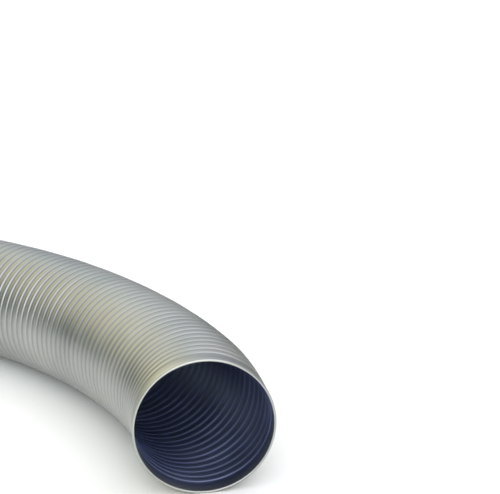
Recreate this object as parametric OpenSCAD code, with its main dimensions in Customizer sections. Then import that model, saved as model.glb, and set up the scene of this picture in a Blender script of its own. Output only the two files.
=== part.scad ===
// Flexible aluminium duct: one length of thin corrugated tube, lying on the floor in a gentle
// curve. The rear run is straight, then the tube turns in plan through a long bend and a
// tighter one to its open mouth. The waves keep their shape, and the valleys between them
// close up on the inside of a bend and open out on the outside.
// The origin is the centre of the rear opening, and the rear run lies along +X.

/* [Tube] */
// Inside diameter of the tube, which slides over a duct fitting
bore_d = 150; // [100:1:200]
// Thickness of the wall
wall = 0.5; // [0.4:0.1:0.8]

/* [Corrugation] */
// Mean distance from one wave to the next along the centre line
pitch = 12; // [11.5:0.5:14]
// Height of a wave, from the valley to the crest
wave_h = 2; // [1.5:0.1:2.5]
// Length of the flat top of a wave
crest_top = 5; // [4:0.2:6]
// Length of a wave where it meets the valley
crest_base = 8.6; // [7.6:0.2:8.8]

/* [Seam] */
// Width of the folded seam in each valley
seam_w = 0.6; // [0.5:0.1:0.8]
// Height of the folded seam over the valley
seam_h = 0.3; // [0.2:0.1:0.5]

/* [Course] */
// Number of waves in the straight rear run
rear_waves = 30; // [4:1:60]
// Radius of the long bend, at the centre line
long_bend_r = 765; // [500:5:1500]
// Angle that the long bend turns through
long_bend_a = 39; // [10:1:60]
// Radius of the tighter bend near the mouth, at the centre line
mouth_bend_r = 315; // [300:5:800]
// Angle that the tighter bend turns through
mouth_bend_a = 14; // [5:1:30]
// Number of waves in the straight run at the mouth
mouth_waves = 1; // [1:1:10]

/* [Ends] */
// Length of the plain cuff at each end
cuff_len = 15; // [8:1:40]
// Thickness of the lip that is rolled outward on each cuff's edge
lip_d = 3.2; // [2.8:0.1:4]

/* [Hidden] */

bore_r = bore_d / 2;
valley_r = bore_r + wall;
crest_r = valley_r + wave_h;

// The inner face of a sloping flank is shifted so that the flank is as thick as the wall
flank_run = (crest_base - crest_top) / 2;
flank_shift = wall * sqrt(flank_run * flank_run + wave_h * wave_h) / wave_h;
inner_top = crest_top + 2 * (flank_run * wall / wave_h - flank_shift);
inner_base = crest_base + 2 * (flank_run * wall / wave_h - flank_shift);

// At a joint two waves' walls end this far apart, and the seam, which starts inside the wall,
// joins them
seam_gap = 0.2;
seam_bottom_r = bore_r + wall / 2;
seam_top_r = valley_r + seam_h;

rear_len = cuff_len + rear_waves * pitch;
mouth_len = cuff_len + mouth_waves * pitch;

// Each bend holds a whole number of waves, with a joint before each and after the last
long_waves = round(long_bend_r * long_bend_a * PI / 180 / pitch);
mouth_bend_waves = round(mouth_bend_r * mouth_bend_a * PI / 180 / pitch);
joints = long_waves + mouth_bend_waves;
long_step = long_bend_a / long_waves;
mouth_step = mouth_bend_a / mouth_bend_waves;

// How far a cutting shape reaches past the edge that it cuts
cut_past = 1;

// Soft, slightly dull aluminium
duct_color = [0.72, 0.73, 0.72];
$fn = 96;

// Right half of a disc of radius r, within w / 2 of its centre line
module disc_band(r, w) {
    intersection() {
        circle(r = r);
        translate([0, -w / 2]) square([2 * r, w]);
    }
}

// Section of a wave whose flanks are arcs of two large circles centred on the tube's axis.
// The flanks pass through the corners (top_r, top / 2) and (base_r, base / 2).
module domed_wave(top_r, top, base_r, base) {
    c = (top_r * top_r - base_r * base_r + (top * top - base * base) / 4) / (base - top);
    flank_r = sqrt(top_r * top_r + pow(top / 2 + c, 2));
    intersection() {
        disc_band(top_r, pitch);
        translate([0, -c]) circle(r = flank_r);
        translate([0, c]) circle(r = flank_r);
    }
}

// Outline of a wave with the half valleys beside it, filled to the axis. The valleys are arcs
// centred on the joints at h either side of the wave's middle, and reach past them.
module wave_outline(h, base_r, base, top_r, top, past) {
    for (side = [-1, 1]) translate([0, side * h]) disc_band(base_r, 2 * h + past);
    domed_wave(top_r, top, base_r, base);
}

// Section of the wall of one wave, between joints at h either side of its middle
module wall_section(h) {
    difference() {
        wave_outline(h, valley_r, crest_base, crest_r, crest_top, 0);
        wave_outline(h, bore_r, inner_base, crest_r - wall, inner_top, cut_past);
    }
}

// Section of a seam, which starts inside the wall
module seam_section() {
    difference() {
        disc_band(seam_top_r, seam_w);
        disc_band(seam_bottom_r, seam_w + cut_past);
    }
}

// A straight run along +Z, from its cuff and lip to half a gap before the joint after it
module straight_run(waves) {
    rotate_extrude() {
        translate([bore_r, 0]) square([wall, cuff_len]);
        // Lip, which reaches as far out as the crests
        difference() {
            translate([crest_r - lip_d / 2, lip_d / 2]) circle(d = lip_d, $fn = 32);
            translate([bore_r - lip_d, 0]) square([lip_d, lip_d]);
        }
        for (i = [0 : waves - 1]) translate([0, cuff_len + (i + 0.5) * pitch]) intersection() {
            wall_section(pitch / 2);
            end = pitch / 2 - (i == waves - 1 ? seam_gap / 2 : 0);
            translate([0, -pitch / 2]) square([2 * crest_r, pitch / 2 + end]);
        }
        if (waves > 1) for (i = [1 : waves - 1])
            translate([0, cuff_len + i * pitch]) seam_section();
    }
}

// Moves its children from the start of a bend, which runs along +X and turns toward -Y,
// to angle a of it
module round_bend(r, a) {
    translate([0, -r, 0]) rotate([0, 0, -a]) translate([0, r, 0]) children();
}

// Moves its children to joint i of the two bends
module at_joint(i) {
    translate([rear_len, 0, 0])
        round_bend(long_bend_r, min(i, long_waves) * long_step)
            round_bend(mouth_bend_r, max(i - long_waves, 0) * mouth_step) children();
}

// Space between two joints' planes, a / 2 either side of the chord's middle, less half a gap
// at each
module wall_space(r, a) {
    height = 2 * crest_r + 2 * pitch;
    far = r + 2 * crest_r;
    far_side = far * sin(a / 2);
    far_up = far * cos(a / 2);
    apex_y = seam_gap / 2 / sin(a / 2) - r * cos(a / 2);
    translate([0, apex_y, -height / 2]) linear_extrude(height)
        polygon([[0, 0], [-far_side, far_up], [far_side, far_up]]);
}

// The wall of one wave that starts a bend of radius r and turns through angle a
module mitred_wall(r, a) {
    round_bend(r, a / 2) translate([0, -r * (1 - cos(a / 2)), 0]) intersection() {
        rotate([0, 90, 0]) rotate_extrude() wall_section(r * sin(a / 2));
        wall_space(r, a);
    }
}

// The pieces in their order along the course: the rear run, then each joint's seam with the
// wall after it, which is the run at the mouth at the last joint
module course_piece(i) {
    if (i < 0) rotate([0, 90, 0]) straight_run(rear_waves);
    else at_joint(i) {
        rotate([0, 90, 0]) rotate_extrude() seam_section();
        if (i < long_waves) mitred_wall(long_bend_r, long_step);
        else if (i < joints) mitred_wall(mouth_bend_r, mouth_step);
        else translate([mouth_len, 0, 0]) rotate([0, -90, 0]) straight_run(mouth_waves);
    }
}

module duct() {
    color(duct_color) for (i = [-1 : joints]) course_piece(i);
}

duct();
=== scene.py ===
"""Looks of the flexible aluminium duct: its corrugated skin, finish, floor, light and camera."""
import math

import bpy
import numpy as np
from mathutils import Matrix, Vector


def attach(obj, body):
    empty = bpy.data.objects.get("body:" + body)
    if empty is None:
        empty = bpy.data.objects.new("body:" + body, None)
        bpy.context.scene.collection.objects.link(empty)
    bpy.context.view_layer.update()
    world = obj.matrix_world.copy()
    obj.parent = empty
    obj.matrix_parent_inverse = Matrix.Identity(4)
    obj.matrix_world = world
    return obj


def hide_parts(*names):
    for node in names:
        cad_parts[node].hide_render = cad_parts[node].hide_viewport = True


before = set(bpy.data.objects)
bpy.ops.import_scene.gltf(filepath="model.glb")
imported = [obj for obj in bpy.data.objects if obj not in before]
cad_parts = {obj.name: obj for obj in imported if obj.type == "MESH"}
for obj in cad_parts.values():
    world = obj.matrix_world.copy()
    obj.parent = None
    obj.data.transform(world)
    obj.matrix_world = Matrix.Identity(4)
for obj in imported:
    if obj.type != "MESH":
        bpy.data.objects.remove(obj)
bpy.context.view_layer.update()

MM = 0.001

# Tube, with the sizes of the solid in part.scad
BORE_R = 75.0 * MM
VALLEY_R = 75.5 * MM
CREST_R = 77.5 * MM
CUFF_LEN = 15 * MM
STRIP_W = 12 * MM

# Rolled lip of a cuff: a bead, drawn in steps. The smooth shading from the wall to the bead
# stays within the short foot between them.
LIP_R = 1.6 * MM
LIP_STEPS = 14
LIP_FOOT = 0.4 * MM

# Course of the centre line: straight rear run, long bend, tighter bend, straight mouth run
REAR_LEN = CUFF_LEN + 30 * STRIP_W
LONG_BEND_R = 765 * MM
LONG_BEND_A = math.radians(39)
MOUTH_BEND_R = 315 * MM
MOUTH_BEND_A = math.radians(14)
BEND_1_END = REAR_LEN + LONG_BEND_R * LONG_BEND_A
BEND_2_END = BEND_1_END + MOUTH_BEND_R * MOUTH_BEND_A
DUCT_LEN = BEND_2_END + STRIP_W + CUFF_LEN

# Section across one strip: distances from the joint before it, in mm, and heights as shares of a
# wave's. A small folded seam lies in the valley at the joint, and one wave lies between two.
STRIP_SECTION = (
    (-0.45, 0.0), (-0.25, 0.15), (0.25, 0.15), (0.45, 0.0), (1.5, 0.0), (2.1, 0.16),
    (2.8, 0.55), (3.5, 0.85), (4.3, 0.97), (6.0, 1.0), (7.7, 0.97), (8.5, 0.85),
    (9.2, 0.55), (9.9, 0.16), (10.5, 0.0),
)
# Height of a wave as it was rolled, and the distance over which waves die out at a cuff
WAVE_H = 1.95 * MM
WAVE_FADE = 6 * MM

# Handling has pressed the waves down. This is the mean share of their height that is left, and
# how far it swings, slowly and quickly. The rates are in radians for each metre of the tube.
MEAN_SHARE = 0.66
SLOW_SWING = 0.07
SLOW_RATES = (37, 61)
SLOW_LEAN = 2.0
SLOW_PHASE = 1.3
QUICK_SWING = 0.03
QUICK_RATES = (331, 197)
QUICK_LOBES = 3
QUICK_PHASE = 0.7

# Fineness of the skin, the number of pieces that it is built in, and the distance within which
# points are one
AROUND = 128
PIECES = 4
WELD = 0.001 * MM

# Foil: soft patches, which change its tone and its roughness, and a fine grain. Tones are pairs
# of stops, each with its position and its colour.
PATCHES = {"Scale": 9.0, "Detail": 5.0}
GRAIN = {"Scale": 260.0, "Detail": 3.0}
PATCH_TONES = ((0.35, (0.38, 0.39, 0.38, 1)), (0.68, (0.48, 0.48, 0.465, 1)))
# Painted shade: the tone darkens where the wave is low, in the valleys, in place of the shade in the
# grooves
VALLEY_SHADE_TONES = ((0.0, (0.80, 0.80, 0.80, 1)), (0.7, (1, 1, 1, 1)))
PATCH_ROUGHNESS = {"From Min": 0.3, "From Max": 0.7, "To Min": 0.38, "To Max": 0.50}
GRAIN_BUMP = {"Strength": 0.08, "Distance": 0.3 * MM}

# Painted cool light: a cooler tint over the tube's inside, coming in over a cuff's inside by these
# shares
PAINTED_INSIDE_LIGHT = (0.78, 0.88, 1.35, 1)
CUFF_INSIDE_LIGHT_SHARES = (0.1, 0.3, 0.9)

# Floor, which reaches past the picture on every side
FLOOR_SIZE = 60.0
FLOOR_MIDDLE = (0.5, 0)
FLOOR_FINISH = {"Roughness": 0.9, "Specular IOR Level": 0.1}
FLOOR_MOTTLE = {"Scale": 2.0}
FLOOR_TONES = ((0.0, (0.90, 0.90, 0.90, 1)), (1.0, (0.93, 0.93, 0.93, 1)))

# Camera, in metres: how far ahead of it and to its left the mouth's centre lies, and its height
# over the tube's axis. Then how far it looks down, its turn from the mouth's own axis, and the
# lens.
MOUTH_AHEAD = 1.2632
MOUTH_LEFT = 0.0478
CAMERA_OVER_AXIS = 0.5825
CAMERA_DIP = math.radians(16.84)
MOUTH_TURN = math.radians(-9.69)
FOCAL_PX = 1299
IMAGE_W_PX = 500
SENSOR_MM = 36

# Soft lights of the studio, far away: degrees to the left of the camera's level direction of
# view, degrees up, width in degrees from the middle to the edge, and colour times strength
SOFT_LIGHTS = (
    (188, 12, 46, (3.0, 3.2, 3.0)),
    (180, 55, 46, (1.1, 1.0, 0.85)),
    (144, 50, 42, (0.8, 0.95, 1.15)),
    (270, 72, 46, (1.1, 1.0, 1.2)),
    (288, 50, 42, (0.85, 0.95, 0.85)),
    (48, 28, 36, (1.2, 0.6, 0.15)),
    (48, 7, 36, (0.5, 0.95, 0.8)),
    (36, 50, 42, (0.25, 0.55, 0.5)),
    (5, 26, 40, (0.75, 0.75, 0.85)),
)
# Faint light from all round, added to the soft lights
ROOM_TONE = (0.005, 0.005, 0.005)


def course(s):
    """Centre (x, y) and clockwise heading of the tube at distances s from the rear end."""
    x, y, heading = np.minimum(s, REAR_LEN), np.zeros_like(s), np.zeros_like(s)
    for start, end, radius in (
        (REAR_LEN, BEND_1_END, LONG_BEND_R),
        (BEND_1_END, BEND_2_END, MOUTH_BEND_R),
    ):
        turned = (np.clip(s, start, end) - start) / radius
        x = x + radius * (np.sin(heading + turned) - np.sin(heading))
        y = y + radius * (np.cos(heading + turned) - np.cos(heading))
        heading = heading + turned
    straight = np.maximum(s - BEND_2_END, 0)
    return x + straight * np.cos(heading), y - straight * np.sin(heading), heading


def place(s, angle, radius):
    """Points at distances s along the tube, angles round it and radii from its centre line."""
    x, y, heading = course(s)
    side = radius * np.cos(angle)
    points = x + side * np.sin(heading), y + side * np.cos(heading), radius * np.sin(angle)
    return np.stack(points, -1)


def share_left(s, angle):
    """Share of a wave's height that handling has left, lower here and there."""
    slow_1, slow_2 = SLOW_RATES
    slow = np.sin(slow_1 * s + SLOW_LEAN * np.sin(angle)) * np.sin(slow_2 * s - angle + SLOW_PHASE)
    quick_1, quick_2 = QUICK_RATES
    quick = np.sin(quick_1 * s + QUICK_LOBES * angle) * np.sin(quick_2 * s + QUICK_PHASE)
    return MEAN_SHARE + SLOW_SWING * slow + QUICK_SWING * quick


class Sheet:
    """One piece of skin: grids of points, each with its wave height and how far it is inside."""

    def __init__(self):
        self.points = []
        self.marks = []
        self.faces = []

    def add_grid(self, points, height, inside, toward_axis=False):
        """Adds a grid with its marks. It faces outward, or toward the axis."""
        rows, columns = points.shape[:2]
        first = sum(len(p) for p in self.points)
        self.points.append(points.reshape(-1, 3))
        marks = [np.broadcast_to(mark, (rows, columns)).ravel() for mark in (height, inside)]
        self.marks.append(np.stack(marks, 1))
        corner = first + np.arange(rows * columns).reshape(rows, columns)
        quads = np.stack([corner[:-1, :-1], corner[:-1, 1:], corner[1:, 1:], corner[1:, :-1]], -1)
        quads = quads.reshape(-1, 4)
        self.faces.append(quads[:, ::-1] if toward_axis else quads)

    def build(self, name):
        """Makes the mesh. Points that coincide are welded, and faces without area left out."""
        points = np.concatenate(self.points)
        marks = np.concatenate(self.marks)
        _, first, welded = np.unique(
            np.round(points / WELD).astype(np.int64), axis=0, return_index=True, return_inverse=True)
        quads = welded.reshape(-1)[np.concatenate(self.faces)]
        faces = []
        for quad in quads.tolist():
            corners = [v for n, v in enumerate(quad) if v != quad[n - 1]]
            if len(set(corners)) == len(corners) > 2:
                faces.append(corners)
        mesh = bpy.data.meshes.new(name)
        mesh.from_pydata(points[first].tolist(), [], faces)
        for column, mark in enumerate(("wave_height", "inside")):
            attribute = mesh.attributes.new(mark, "FLOAT", "POINT")
            attribute.data.foreach_set("value", marks[first, column])
        mesh.polygons.foreach_set("use_smooth", [True] * len(mesh.polygons))
        piece = bpy.data.objects.new(name, mesh)
        bpy.context.scene.collection.objects.link(piece)
        return piece


def spiral_grid(first_strip, last_strip, base_r):
    """Wall from one strip's seam to another's. Rows follow the spiral and stop at the cuffs."""
    section = np.array(STRIP_SECTION) * (MM, 1)
    strips = np.arange(first_strip, last_strip + 1)
    # The last strip gives its first row only
    own_rows = slice(1 - len(section))
    start = (strips[:, None] * STRIP_W + section[:, 0]).ravel()[own_rows] + CUFF_LEN
    share = np.tile(section[:, 1], len(strips))[own_rows]
    column = np.arange(AROUND + 1)
    s = start[:, None] + STRIP_W * column / AROUND
    angle = np.broadcast_to(2 * math.pi * column / AROUND, s.shape)
    to_cuff = np.minimum(s, DUCT_LEN - s) - CUFF_LEN
    height = share[:, None] * np.clip(to_cuff / WAVE_FADE, 0, 1) ** 2 * share_left(s, angle)
    points = place(np.clip(s, CUFF_LEN, DUCT_LEN - CUFF_LEN), angle, base_r + WAVE_H * height)
    return points, height


def add_cuff(sheet, edge, inward):
    """A plain cuff from the tube's end at edge. Its lip is as wide as the solid's crests."""
    lip_middle = CREST_R - LIP_R
    lip_start = math.asin((VALLEY_R - lip_middle) / LIP_R)
    lip_end = math.pi - math.asin((BORE_R - lip_middle) / LIP_R)
    lip = [
        (LIP_R + LIP_R * math.cos(turn), lip_middle + LIP_R * math.sin(turn))
        for turn in np.linspace(lip_start, lip_end, LIP_STEPS + 1)
    ]
    outer_face = [(CUFF_LEN, VALLEY_R), (lip[0][0] + LIP_FOOT, VALLEY_R)]
    inner_face = [(2 * LIP_R, BORE_R), (CUFF_LEN / 2, BORE_R), (CUFF_LEN, BORE_R)]
    stations = outer_face + lip + inner_face
    # Shares of the painted cool light of the inside: none on the outer face and the lip
    inside = np.array([0.0] * len(outer_face + lip) + list(CUFF_INSIDE_LIGHT_SHARES))
    # The faces look outward where the rows go toward the mouth along the outer face
    if inward > 0:
        stations, inside = stations[::-1], inside[::-1]
    column = 2 * math.pi * np.arange(AROUND + 1) / AROUND
    points = np.stack([place(np.full(AROUND + 1, edge + inward * s), column, r) for s, r in stations])
    sheet.add_grid(points, 1.0, inside[:, None])


def skin_pieces():
    """The skin in several pieces, which meet in a valley along the spiral."""
    # A row of the spiral ends one strip further on than it starts, so the first row starts a
    # strip before the wall, and the last one past its end
    first_strip = -1
    last_strip = math.ceil((DUCT_LEN - 2 * CUFF_LEN) / STRIP_W) + 1
    strips = last_strip - first_strip
    bounds = [round(first_strip + strips * k / PIECES) for k in range(PIECES + 1)]
    pieces = []
    for k in range(PIECES):
        sheet = Sheet()
        outer, height = spiral_grid(bounds[k], bounds[k + 1], VALLEY_R)
        inner, _ = spiral_grid(bounds[k], bounds[k + 1], BORE_R)
        sheet.add_grid(outer, height, inside=0.0)
        sheet.add_grid(inner, height, inside=1.0, toward_axis=True)
        if k == 0:
            add_cuff(sheet, 0.0, 1)
        if k == PIECES - 1:
            add_cuff(sheet, DUCT_LEN, -1)
        pieces.append(sheet.build(f"duct_skin_{k + 1}"))
    return pieces


def set_inputs(tree, made, inputs):
    """Sets a shader node's inputs, each to a number or colour, or to another node's output."""
    for key, value in inputs.items():
        if isinstance(value, bpy.types.NodeSocket):
            tree.links.new(value, made.inputs[key])
        else:
            made.inputs[key].default_value = value


def node(tree, kind, inputs=None, **settings):
    """A new shader node with its settings and inputs."""
    made = tree.nodes.new(kind)
    for key, value in settings.items():
        setattr(made, key, value)
    set_inputs(tree, made, inputs or {})
    return made


def two_tones(tree, value, stops):
    """Colour that goes from one stop's to the other's as the value grows."""
    made = node(tree, "ShaderNodeValToRGB", {"Fac": value})
    for element, (position, color) in zip(made.color_ramp.elements, stops):
        element.position = position
        element.color = color
    return made.outputs["Color"]


def multiply(tree, first, second, factor):
    """First colour times the second, as far as the factor says."""
    inputs = {"A": first, "B": second, "Factor": factor}
    made = node(tree, "ShaderNodeMix", inputs, data_type="RGBA", blend_type="MULTIPLY")
    return made.outputs["Result"]


def new_material(name):
    """A new material, its node tree and its shader."""
    material = bpy.data.materials.new(name)
    material.use_nodes = True
    tree = material.node_tree
    return material, tree, tree.nodes["Principled BSDF"]


def aluminium():
    """Satin aluminium foil with painted shade in its valleys, paler and duller in soft patches."""
    material, tree, shader = new_material("duct_aluminium")
    spot = node(tree, "ShaderNodeTexCoord").outputs["Object"]
    patches = node(tree, "ShaderNodeTexNoise", {"Vector": spot, **PATCHES}).outputs["Fac"]
    grain = node(tree, "ShaderNodeTexNoise", {"Vector": spot, **GRAIN}).outputs["Fac"]
    height = node(tree, "ShaderNodeAttribute", attribute_name="wave_height").outputs["Fac"]
    inside = node(tree, "ShaderNodeAttribute", attribute_name="inside").outputs["Fac"]

    patch_tone = two_tones(tree, patches, PATCH_TONES)
    # Painted shade in the valleys, following the wave height
    valley_shade = two_tones(tree, height, VALLEY_SHADE_TONES)
    tone = multiply(tree, patch_tone, valley_shade, 1.0)
    dull = node(tree, "ShaderNodeMapRange", {"Value": patches, **PATCH_ROUGHNESS})
    bump = node(tree, "ShaderNodeBump", {"Height": grain, **GRAIN_BUMP})
    set_inputs(tree, shader, {
        "Metallic": 1.0,
        # Painted cool light over the tube's inside
        "Base Color": multiply(tree, tone, PAINTED_INSIDE_LIGHT, inside),
        "Roughness": dull.outputs["Result"],
        "Normal": bump.outputs["Normal"],
    })
    return material


def add_floor():
    """A plain white floor, which the two lips rest on."""
    bpy.ops.mesh.primitive_plane_add(size=FLOOR_SIZE, location=(*FLOOR_MIDDLE, -CREST_R))
    floor = bpy.context.object
    floor.name = "floor"
    material, tree, shader = new_material("floor")
    mottle = node(tree, "ShaderNodeTexNoise", FLOOR_MOTTLE).outputs["Fac"]
    set_inputs(tree, shader, {"Base Color": two_tones(tree, mottle, FLOOR_TONES), **FLOOR_FINISH})
    floor.data.materials.append(material)


def camera_frame():
    """Camera's place, its level direction of view and its left, from the mouth's centre."""
    x, y, heading = (float(v) for v in course(np.array(DUCT_LEN)))
    view = -heading + math.pi + MOUTH_TURN
    ahead = Vector((math.cos(view), math.sin(view), 0))
    left = Vector((-ahead.y, ahead.x, 0))
    eye = Vector((x, y, CAMERA_OVER_AXIS)) - MOUTH_AHEAD * ahead - MOUTH_LEFT * left
    return eye, ahead, left


def add_light():
    """A dim room with far, soft lights, which fade toward their edges."""
    bpy.context.scene.view_settings.view_transform = "Standard"
    world = bpy.data.worlds.new("studio")
    bpy.context.scene.world = world
    world.use_nodes = True
    tree = world.node_tree
    direction = node(tree, "ShaderNodeTexCoord").outputs["Generated"]
    _, ahead, left = camera_frame()
    total = ROOM_TONE
    for azimuth, elevation, width, color in SOFT_LIGHTS:
        turn, rise = math.radians(azimuth), math.radians(elevation)
        toward = (ahead * math.cos(turn) + left * math.sin(turn)) * math.cos(rise)
        toward.z = math.sin(rise)
        nearness = node(
            tree, "ShaderNodeVectorMath", {0: direction, 1: toward}, operation="DOT_PRODUCT")
        edge = {"Value": nearness.outputs["Value"], "From Min": math.cos(math.radians(width))}
        fade = node(tree, "ShaderNodeMapRange", edge, interpolation_type="SMOOTHSTEP")
        glow = {0: fade.outputs["Result"], 1: color, 2: total}
        total = node(tree, "ShaderNodeVectorMath", glow, operation="MULTIPLY_ADD").outputs["Vector"]
    set_inputs(tree, tree.nodes["Background"], {"Color": total, "Strength": 1.0})


def add_camera():
    """The camera at the photo's viewing angle and framing."""
    eye, ahead, _ = camera_frame()
    look = ahead * math.cos(CAMERA_DIP) - Vector((0, 0, math.sin(CAMERA_DIP)))
    data = bpy.data.cameras.new("camera")
    data.sensor_width = SENSOR_MM
    data.lens = SENSOR_MM * FOCAL_PX / IMAGE_W_PX
    camera = bpy.data.objects.new("camera", data)
    camera.location = eye
    camera.rotation_euler = look.to_track_quat("-Z", "Y").to_euler()
    bpy.context.scene.collection.objects.link(camera)
    bpy.context.scene.camera = camera


add_camera()
add_light()
add_floor()

finish = aluminium()
for piece in skin_pieces():
    piece.data.materials.append(finish)
    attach(piece, "root")
    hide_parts("duct")
